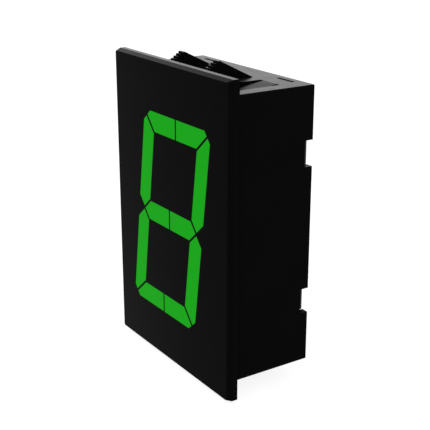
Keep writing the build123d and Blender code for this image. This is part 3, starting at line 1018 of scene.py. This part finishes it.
    def traces(self) -> bpy.types.Object:
        """Copper runs: a bus between the chips, fans to the sockets, signals and two broad supply runs.

        Returns:
            The copper.
        """
        parts = self.bus() + self.fans() + self.signal_runs() + self.supply_runs()
        return piece("board_copper", joined(parts), MASKED_COPPER)

    def ink(self) -> bpy.types.Object:
        """Printed frames around the chips and connectors, with a dot at each chip's first pin.

        Returns:
            The ink.
        """
        low, high = self.face, self.face + self.copper_mm + self.ink_mm
        gaps = {
            "driver_chip_upper": self.chip_gap_mm,
            "driver_chip_lower": self.chip_gap_mm,
            "signal_connector": self.connector_gap_mm,
            "power_connector": self.connector_gap_mm,
            "regulator_chip": self.chip_gap_mm,
        }
        parts = []
        for node, gap in gaps.items():
            (x0, z0), (x1, z1) = self.span(node) + np.array([[-gap, -gap], [gap, gap]])
            corners = np.array([[x0, z0], [x1, z0], [x1, z1], [x0, z1]])
            parts.append(carried(corners, self.ink_line_mm, low, high, closed=True))
        aside, up, radius = self.dot_aside_mm, self.dot_up_mm, self.dot_radius_mm
        dots = np.array([[span[0, 0] - aside, span[0, 1] + up] for span in self.chips.values()])
        side = np.array([[radius, 0.0], [radius, self.copper_mm + self.ink_mm]])
        parts.append(turned(dots, side, self.face))
        return piece("board_ink", joined(parts), WHITE_INK)

    def pads(self) -> bpy.types.Object:
        """Solder pillows under the chips' feet: a low crown over each pad.

        The height over a pad is its peak times (1 - u^4) times (1 - v^4), with u and v from -1 to 1.

        Returns:
            The pillows.
        """
        rows, columns = self.pad_grid
        u, v = np.meshgrid(np.linspace(-1, 1, rows), np.linspace(-1, 1, columns), indexing="ij")
        crown = (1 - u ** self.pad_power) * (1 - v ** self.pad_power)
        centres = np.array([
            [x, z - row * self.pad_shift_mm]
            for name in self.chips for row in (-1, 1) for x, z in self.lead_places(name, row)])
        x = centres[:, 0, None, None] + self.pad_half_width_mm * v
        z = centres[:, 1, None, None] + self.pad_half_length_mm * u
        y = np.broadcast_to(self.face + self.pad_base_mm + self.pad_rise_mm * crown, x.shape)
        points = np.stack([x, y, z], axis=-1).reshape(-1, 3) * MM
        faces = repeated(grid_faces(rows, columns, False), rows * columns, len(centres))
        return piece("chip_solder", (points, faces), SOLDER, smooth=True)

    def joints(self) -> bpy.types.Object:
        """Solder cones round the pins that come through, concave from the pad up to the pin.

        The radius is the pin's plus the skirt's times (1 - t)^2.2, with t from 0 on the board to 1 on top.

        Returns:
            The cones.
        """
        column = (np.arange(self.link_pins) - (self.link_pins - 1) / 2) * self.pin_pitch_mm
        spots = [np.column_stack([np.full(self.link_pins, side * self.link_x), column]) for side in (-1, 1)]
        x, z = self.middle("smoothing_capacitor")
        spots.append(np.array([[x, z - self.capacitor_lead_mm], [x, z + self.capacitor_lead_mm]]))
        t = np.linspace(0, 1, self.cone_rings)
        radius = self.cone_top_mm + self.cone_skirt_mm * (1 - t) ** self.cone_power
        profile = np.vstack([np.column_stack([radius, self.cone_height_mm * t]), self.pin_end_mm])
        cones = turned(np.vstack(spots), profile, self.face)
        return piece("pin_solder", cones, SOLDER, smooth=True)

    def vias(self) -> bpy.types.Object:
        """Small masked rings where a run changes sides.

        Returns:
            The rings.
        """
        bus_x = self.lead_places("upper", -1)[:, 0]
        bus_z = self.via_stagger_mm * (2 * (np.arange(self.leads) % 2) - 1)
        spots = np.vstack([self.signal_vias(), np.column_stack([bus_x, bus_z])])
        crown = self.copper_mm + self.via_crown_mm
        profile = np.array([
            [self.via_radius_mm, 0.0], [self.via_radius_mm, self.copper_mm],
            [self.via_rim_mm, crown], [self.via_hole_mm, crown]])
        return piece("board_vias", turned(spots, profile, self.face), MASKED_COPPER)


@dataclass
class Studio:
    """A white sweep, a soft grey sky that lights it, and two broad lamps.

    The sky's stops are pairs of height, from nadir to zenith, and brightness.
    """

    floor_gap_mm: float = 0.2
    floor_half_mm: float = 30000.0
    floor_lift: float = 0.87
    floor_shade: str = "#E6E6E6"
    seen_floor_shade: str = "#8A8A8A"
    sky: tuple = ((0.0, 0.5), (0.5, 0.6), (1.0, 0.75))
    lamp_side_m: float = 0.9
    key_place_m: tuple = (-0.7, -0.9, 1.1)
    key_watts: float = 9.0
    fill_place_m: tuple = (0.9, 0.9, 0.8)
    fill_watts: float = 5.0

    def build(self) -> None:
        """Makes the floor, the sky and the lamps."""
        self.floor()
        self.world()
        self.lamp("key_lamp", self.key_place_m, self.key_watts)
        self.lamp("fill_lamp", self.fill_place_m, self.fill_watts)

    def seen(self, tree: bpy.types.NodeTree) -> bpy.types.NodeSocket:
        """Tells the rays that show the background: straight, mirrored or through glass.

        Args:
            tree: The tree of the floor's or the sky's nodes.

        Returns:
            The socket that is one for such a ray.
        """
        path = add_node(tree, "ShaderNodeLightPath")
        either = add_node(tree, "ShaderNodeMath", {
            0: path.outputs["Is Camera Ray"], 1: path.outputs["Is Glossy Ray"]}, operation="MAXIMUM")
        any_of = add_node(tree, "ShaderNodeMath", {
            0: either.outputs[0], 1: path.outputs["Is Transmission Ray"]}, operation="MAXIMUM")
        return any_of.outputs[0]

    def floor(self) -> None:
        """Lays a pale floor that renders white and keeps a faint shadow."""
        half = self.floor_half_mm * MM
        z = CAD_BOX[0].z - self.floor_gap_mm * MM
        mesh = bpy.data.meshes.new("floor")
        corners = [(-half, -half, z), (half, -half, z), (half, half, z), (-half, half, z)]
        mesh.from_pydata(corners, [], [(0, 1, 2, 3)])
        made = bpy.data.objects.new("floor", mesh)
        bpy.context.scene.collection.objects.link(made)
        material = bpy.data.materials.new("pale_floor")
        material.use_nodes = True
        tree = material.node_tree
        tree.nodes.clear()
        lift = add_node(tree, "ShaderNodeEmission", {"Color": (1, 1, 1, 1), "Strength": self.floor_lift})
        faint = add_node(tree, "ShaderNodeBsdfDiffuse", {"Color": linear(self.seen_floor_shade)})
        pale = add_node(tree, "ShaderNodeBsdfDiffuse", {"Color": linear(self.floor_shade)})
        both = add_node(tree, "ShaderNodeAddShader", {0: lift.outputs[0], 1: faint.outputs[0]})
        mix = add_node(tree, "ShaderNodeMixShader", {
            0: self.seen(tree), 1: pale.outputs[0], 2: both.outputs[0]})
        add_node(tree, "ShaderNodeOutputMaterial", {"Surface": mix.outputs[0]})
        mesh.materials.append(material)

    def world(self) -> None:
        """Paints the sky: white where it is seen, and a soft grey by height where it lights."""
        world = bpy.data.worlds.new("studio")
        bpy.context.scene.world = world
        world.use_nodes = True
        tree = world.node_tree
        tree.nodes.clear()
        way = add_node(tree, "ShaderNodeTexCoord").outputs["Generated"]
        height = add_node(tree, "ShaderNodeSeparateXYZ", {0: way}).outputs["Z"]
        level = add_node(tree, "ShaderNodeMapRange", {"Value": height, "From Min": -1.0, "From Max": 1.0})
        ramp = add_node(tree, "ShaderNodeValToRGB", {0: level.outputs["Result"]})
        stops = ramp.color_ramp.elements
        while len(stops) < len(self.sky):
            stops.new(0.5)
        for stop, (place, value) in zip(stops, self.sky):
            stop.position = place
            stop.color = (value, value, value, 1)
        mix = add_node(tree, "ShaderNodeMix", {
            MIX_FACTOR: self.seen(tree),
            MIX_FIRST: ramp.outputs["Color"],
            MIX_SECOND: (1, 1, 1, 1),
        }, data_type="RGBA")
        back = add_node(tree, "ShaderNodeBackground", {"Color": mix.outputs[MIX_RESULT], "Strength": 1.0})
        add_node(tree, "ShaderNodeOutputWorld", {"Surface": back.outputs[0]})

    def lamp(self, name: str, place: tuple, watts: float) -> None:
        """Hangs one square lamp that faces the module.

        Args:
            name: The lamp's name.
            place: Where it hangs, in metres.
            watts: Its power.
        """
        light = bpy.data.lights.new(name, "AREA")
        light.size = self.lamp_side_m
        light.energy = watts
        made = bpy.data.objects.new(name, light)
        made.location = place
        made.rotation_euler = Vector(place).to_track_quat("Z", "Y").to_euler()
        bpy.context.scene.collection.objects.link(made)


@dataclass
class Camera:
    """The photograph's viewpoint, fitted to the module's straight edges."""

    azimuth: float = 56.51
    elevation: float = 19.0
    distance_mm: float = 487.72
    target_mm: tuple = (-7.72, 25.8, -5.63)
    focal_px: float = 974.79
    frame_px: float = 430.0
    sensor_mm: float = 36.0
    nearest_m: float = 0.01

    def build(self) -> None:
        """Places the camera, level, and makes it the scene's."""
        a, e = radians(self.azimuth), radians(self.elevation)
        back = Vector((sin(a) * cos(e), -cos(a) * cos(e), sin(e)))
        right = Vector((cos(a), sin(a), 0.0))
        up = back.cross(right)
        made = bpy.data.objects.new("camera", bpy.data.cameras.new("camera"))
        made.data.sensor_width = self.sensor_mm
        made.data.lens = self.focal_px / self.frame_px * self.sensor_mm
        made.data.clip_start = self.nearest_m
        turn = Matrix((right, up, back)).transposed().to_4x4()
        place = (Vector(self.target_mm) + back * self.distance_mm) * MM
        made.matrix_world = Matrix.Translation(place) @ turn
        bpy.context.scene.collection.objects.link(made)
        bpy.context.scene.camera = made


def main() -> None:
    """Builds the sub-assemblies in order and reports each piece."""
    logging.basicConfig(level=logging.INFO, format="%(name)s: %(message)s")
    bpy.context.scene.view_settings.view_transform = "Standard"
    log.info("%s", Housing().build().name)
    LightUnit().dress()
    board = RearBoard()
    board.dress()
    for made in (board.traces(), board.ink(), board.pads(), board.joints(), board.vias()):
        log.info("%s, %d faces", made.name, len(made.data.polygons))
    Studio().build()
    Camera().build()


if __name__ == "__main__":
    main()
